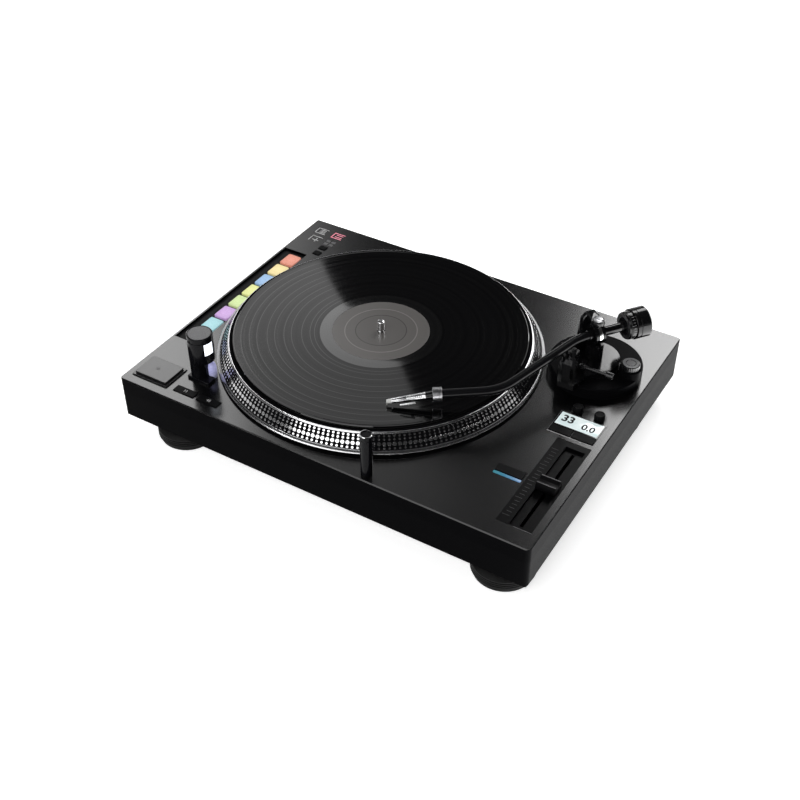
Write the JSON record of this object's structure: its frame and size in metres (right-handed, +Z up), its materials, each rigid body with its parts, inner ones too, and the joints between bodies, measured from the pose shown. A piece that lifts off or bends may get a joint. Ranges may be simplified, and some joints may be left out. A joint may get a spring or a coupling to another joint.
{
  "type": "direct drive turntable",
  "caption": "Direct drive turntable with an S-shaped tonearm, lit pads, strobe tower, pitch fader and a record on its platter",
  "frame": {"origin": "under the middle of the plinth, on the surface it stands on", "axes": "+X to the right, +Y to the back, +Z up"},
  "size_m": [0.458, 0.354, 0.1364],
  "materials": {
    "shell_black": "black gloss lacquer",
    "deck_grey": "dark grey satin lacquer",
    "screw_steel": "zinc plated",
    "board_green": "solder mask",
    "coil_copper": "wound wire and steel plate",
    "bearing_brass": "turned",
    "panel_black": "black powder coat",
    "socket_black": "moulded",
    "tray_black": "moulded",
    "tower_black": "gloss black",
    "switch_grey": "brushed",
    "display_black": "polished",
    "arm_base_black": "gloss black",
    "foot_rubber": "moulded rubber",
    "platter_metal": "turned and polished",
    "spindle_steel": "polished",
    "magnet_grey": "sintered",
    "mat_felt": "felt",
    "vinyl_black": "pressed vinyl",
    "button_black": "moulded",
    "button_grey": "brushed look",
    "carriage_black": "black lacquer",
    "screw_silver": "polished",
    "tube_grey": "dark grey lacquer",
    "cartridge_silver": "satin",
    "stylus_white": "moulded",
    "weight_black": "black lacquer",
    "dial_black": "moulded",
    "dial_grey": "moulded",
    "cue_black": "moulded",
    "pad_colour_1": "lit silicone",
    "pad_colour_2": "lit silicone",
    "pad_colour_3": "lit silicone",
    "pad_colour_4": "lit silicone",
    "pad_colour_5": "lit silicone",
    "pad_colour_6": "lit silicone",
    "pad_colour_7": "lit silicone",
    "pad_colour_8": "lit silicone"
  },
  "bodies": {
    "plinth": {"base_shell": "shell_black", "top_cover": "deck_grey", "cover_screws": "screw_steel", "circuit_board": "board_green", "motor_stator": "coil_copper", "bearing_housing": "bearing_brass", "connector_panel": "panel_black", "rear_sockets": "socket_black", "pad_tray": "tray_black", "strobe_tower": "tower_black", "fader_plate": "tray_black", "display_window": "display_black", "arm_base": "arm_base_black"},
    "platter": {"platter": "platter_metal", "spindle": "spindle_steel", "rotor_magnet": "magnet_grey", "slipmat": "mat_felt"},
    "record": {"record": "vinyl_black"},
    "arm_carriage": {"arm_carriage": "carriage_black", "arm_bridge": "carriage_black", "pivot_screw": "screw_silver", "arm_rest": "carriage_black"},
    "gimbal": {"gimbal_yoke": "carriage_black"},
    "arm": {"pivot_block": "tube_grey", "arm_tube": "tube_grey", "cartridge": "cartridge_silver", "stylus": "stylus_white"},
    "foot_front_left": {"foot_front_left": "foot_rubber"},
    "foot_front_right": {"foot_front_right": "foot_rubber"},
    "foot_back_left": {"foot_back_left": "foot_rubber"},
    "foot_back_right": {"foot_back_right": "foot_rubber"},
    "pad_1": {"pad_1": "pad_colour_1"},
    "pad_2": {"pad_2": "pad_colour_2"},
    "pad_3": {"pad_3": "pad_colour_3"},
    "pad_4": {"pad_4": "pad_colour_4"},
    "pad_5": {"pad_5": "pad_colour_5"},
    "pad_6": {"pad_6": "pad_colour_6"},
    "pad_7": {"pad_7": "pad_colour_7"},
    "pad_8": {"pad_8": "pad_colour_8"},
    "start_stop_button": {"start_stop_button": "button_grey"},
    "speed_33_button": {"speed_33_button": "button_black"},
    "speed_45_button": {"speed_45_button": "button_black"},
    "reset_button": {"reset_button": "button_black"},
    "display_button_left": {"display_button_left": "button_black"},
    "display_button_right": {"display_button_right": "button_black"},
    "mode_button_front": {"mode_button_front": "button_black"},
    "mode_button_back": {"mode_button_back": "button_black"},
    "power_switch": {"power_switch": "switch_grey"},
    "target_light": {"target_light": "tower_black"},
    "pitch_slider": {"pitch_slider": "button_black"},
    "start_knob": {"start_knob": "button_black"},
    "brake_knob": {"brake_knob": "button_black"},
    "height_ring": {"height_ring": "carriage_black"},
    "locking_collar": {"locking_collar": "screw_silver"},
    "counterweight": {"counterweight": "weight_black"},
    "force_dial": {"force_dial": "dial_black"},
    "antiskate_dial": {"antiskate_dial": "dial_grey"},
    "cue_lever": {"cue_lever": "cue_black"},
    "cue_bar": {"cue_bar": "cue_black"},
    "arm_clip": {"arm_clip": "cue_black"}
  },
  "joints": [
    {"name": "platter_spin", "type": "hinge", "parent": "plinth", "child": "platter", "pos_m": [-0.0305, 0.0012, 0.0715], "axis": [0, 0, 1], "continuous": true},
    {"name": "record_slip", "type": "hinge", "parent": "platter", "child": "record", "pos_m": [-0.0305, 0.0012, 0.0935], "axis": [0, 0, 1], "continuous": true},
    {"name": "start_stop_button_press", "type": "slide", "parent": "plinth", "child": "start_stop_button", "axis": [0, 0, -1], "range_m": [0, 0.001], "stiffness_N_per_m": 400, "springref_m": -0.0008},
    {"name": "speed_33_button_press", "type": "slide", "parent": "plinth", "child": "speed_33_button", "axis": [0, 0, -1], "range_m": [0, 0.001], "stiffness_N_per_m": 400, "springref_m": -0.0008},
    {"name": "speed_45_button_press", "type": "slide", "parent": "plinth", "child": "speed_45_button", "axis": [0, 0, -1], "range_m": [0, 0.001], "stiffness_N_per_m": 400, "springref_m": -0.0008},
    {"name": "reset_button_press", "type": "slide", "parent": "plinth", "child": "reset_button", "axis": [0, 0, -1], "range_m": [0, 0.001], "stiffness_N_per_m": 400, "springref_m": -0.0008},
    {"name": "display_button_left_press", "type": "slide", "parent": "plinth", "child": "display_button_left", "axis": [0, 0, -1], "range_m": [0, 0.001], "stiffness_N_per_m": 400, "springref_m": -0.0008},
    {"name": "display_button_right_press", "type": "slide", "parent": "plinth", "child": "display_button_right", "axis": [0, 0, -1], "range_m": [0, 0.001], "stiffness_N_per_m": 400, "springref_m": -0.0008},
    {"name": "mode_button_front_press", "type": "slide", "parent": "plinth", "child": "mode_button_front", "axis": [0, 0, -1], "range_m": [0, 0.001], "stiffness_N_per_m": 400, "springref_m": -0.0008},
    {"name": "mode_button_back_press", "type": "slide", "parent": "plinth", "child": "mode_button_back", "axis": [0, 0, -1], "range_m": [0, 0.001], "stiffness_N_per_m": 400, "springref_m": -0.0008},
    {"name": "power_switch_turn", "type": "hinge", "parent": "plinth", "child": "power_switch", "pos_m": [-0.1585, -0.129, 0.1175], "axis": [0, 0, 1], "range_deg": [0, 45]},
    {"name": "target_light_slide", "type": "slide", "parent": "plinth", "child": "target_light", "axis": [0, 0, -1], "range_m": [0, 0.038], "stiffness_N_per_m": 12, "springref_m": -0.02},
    {"name": "pitch_slide", "type": "slide", "parent": "plinth", "child": "pitch_slider", "axis": [0, 1, 0], "range_m": [-0.05, 0.05]},
    {"name": "start_knob_turn", "type": "hinge", "parent": "plinth", "child": "start_knob", "pos_m": [0.1865, 0.0127, 0.0715], "axis": [0, 0, 1], "range_deg": [-140, 140]},
    {"name": "brake_knob_turn", "type": "hinge", "parent": "plinth", "child": "brake_knob", "pos_m": [0.209, 0.0127, 0.0715], "axis": [0, 0, 1], "range_deg": [-140, 140]},
    {"name": "antiskate_turn", "type": "hinge", "parent": "plinth", "child": "antiskate_dial", "pos_m": [0.21102, 0.07784, 0.0912], "axis": [0, 0, 1], "range_deg": [0, 300]},
    {"name": "arm_height", "type": "slide", "parent": "plinth", "child": "arm_carriage", "axis": [0, 0, 1], "range_m": [0, 0.006]},
    {"name": "height_ring_turn", "type": "hinge", "parent": "plinth", "child": "height_ring", "pos_m": [0.17182, 0.07684, 0.0775], "axis": [0, 0, 1], "range_deg": [0, 120]},
    {"name": "tonearm_swing", "type": "hinge", "parent": "arm_carriage", "child": "gimbal", "pos_m": [0.17182, 0.07684, 0.119], "axis": [0, 0, 1], "range_deg": [-18, 17]},
    {"name": "tonearm_lift", "type": "hinge", "parent": "gimbal", "child": "arm", "pos_m": [0.17182, 0.07684, 0.119], "axis": [-0.7923, 0.6101, 0], "range_deg": [0, 10]},
    {"name": "collar_turn", "type": "hinge", "parent": "arm", "child": "locking_collar", "pos_m": [0.07786, -0.07259, 0.10671], "axis": [-0.8467, -0.5281, -0.0654], "range_deg": [0, 90]},
    {"name": "force_dial_turn", "type": "hinge", "parent": "arm", "child": "force_dial", "pos_m": [0.19256, 0.10377, 0.11989], "axis": [0.6099, 0.792, 0.0262], "continuous": true},
    {"name": "counterweight_turn", "type": "hinge", "parent": "arm", "child": "counterweight", "pos_m": [0.19988, 0.11328, 0.1202], "axis": [0.6099, 0.792, 0.0262], "continuous": true},
    {"name": "cue_lever_lift", "type": "hinge", "parent": "arm_carriage", "child": "cue_lever", "pos_m": [0.17282, 0.04985, 0.0993], "axis": [0, -1, 0], "range_deg": [0, 40]},
    {"name": "cue_bar_slide", "type": "slide", "parent": "arm_carriage", "child": "cue_bar", "axis": [0, 0, 1], "range_m": [0, 0.0036]},
    {"name": "clip_close", "type": "hinge", "parent": "arm_carriage", "child": "arm_clip", "pos_m": [0.17139, 0.03042, 0.12379], "axis": [0.0035, 1, 0], "range_deg": [-90, 0]},
    {"name": "foot_front_left_turn", "type": "hinge", "parent": "plinth", "child": "foot_front_left", "pos_m": [-0.174, -0.146, 0.02], "axis": [0, 0, 1], "continuous": true},
    {"name": "foot_front_right_turn", "type": "hinge", "parent": "plinth", "child": "foot_front_right", "pos_m": [0.192, -0.146, 0.02], "axis": [0, 0, 1], "continuous": true},
    {"name": "foot_back_left_turn", "type": "hinge", "parent": "plinth", "child": "foot_back_left", "pos_m": [-0.174, 0.095, 0.02], "axis": [0, 0, 1], "continuous": true},
    {"name": "foot_back_right_turn", "type": "hinge", "parent": "plinth", "child": "foot_back_right", "pos_m": [0.192, 0.095, 0.02], "axis": [0, 0, 1], "continuous": true},
    {"name": "pad_1_press", "type": "slide", "parent": "plinth", "child": "pad_1", "axis": [0, 0, -1], "range_m": [0, 0.0015], "stiffness_N_per_m": 300, "springref_m": -0.0005},
    {"name": "pad_2_press", "type": "slide", "parent": "plinth", "child": "pad_2", "axis": [0, 0, -1], "range_m": [0, 0.0015], "stiffness_N_per_m": 300, "springref_m": -0.0005},
    {"name": "pad_3_press", "type": "slide", "parent": "plinth", "child": "pad_3", "axis": [0, 0, -1], "range_m": [0, 0.0015], "stiffness_N_per_m": 300, "springref_m": -0.0005},
    {"name": "pad_4_press", "type": "slide", "parent": "plinth", "child": "pad_4", "axis": [0, 0, -1], "range_m": [0, 0.0015], "stiffness_N_per_m": 300, "springref_m": -0.0005},
    {"name": "pad_5_press", "type": "slide", "parent": "plinth", "child": "pad_5", "axis": [0, 0, -1], "range_m": [0, 0.0015], "stiffness_N_per_m": 300, "springref_m": -0.0005},
    {"name": "pad_6_press", "type": "slide", "parent": "plinth", "child": "pad_6", "axis": [0, 0, -1], "range_m": [0, 0.0015], "stiffness_N_per_m": 300, "springref_m": -0.0005},
    {"name": "pad_7_press", "type": "slide", "parent": "plinth", "child": "pad_7", "axis": [0, 0, -1], "range_m": [0, 0.0015], "stiffness_N_per_m": 300, "springref_m": -0.0005},
    {"name": "pad_8_press", "type": "slide", "parent": "plinth", "child": "pad_8", "axis": [0, 0, -1], "range_m": [0, 0.0015], "stiffness_N_per_m": 300, "springref_m": -0.0005}
  ],
  "couplings": [
    {"joint": "height_ring_turn", "follows": "arm_height", "rad_per_m": 348.77},
    {"joint": "cue_bar_slide", "follows": "cue_lever_lift", "m_per_rad": 0.005142}
  ]
}
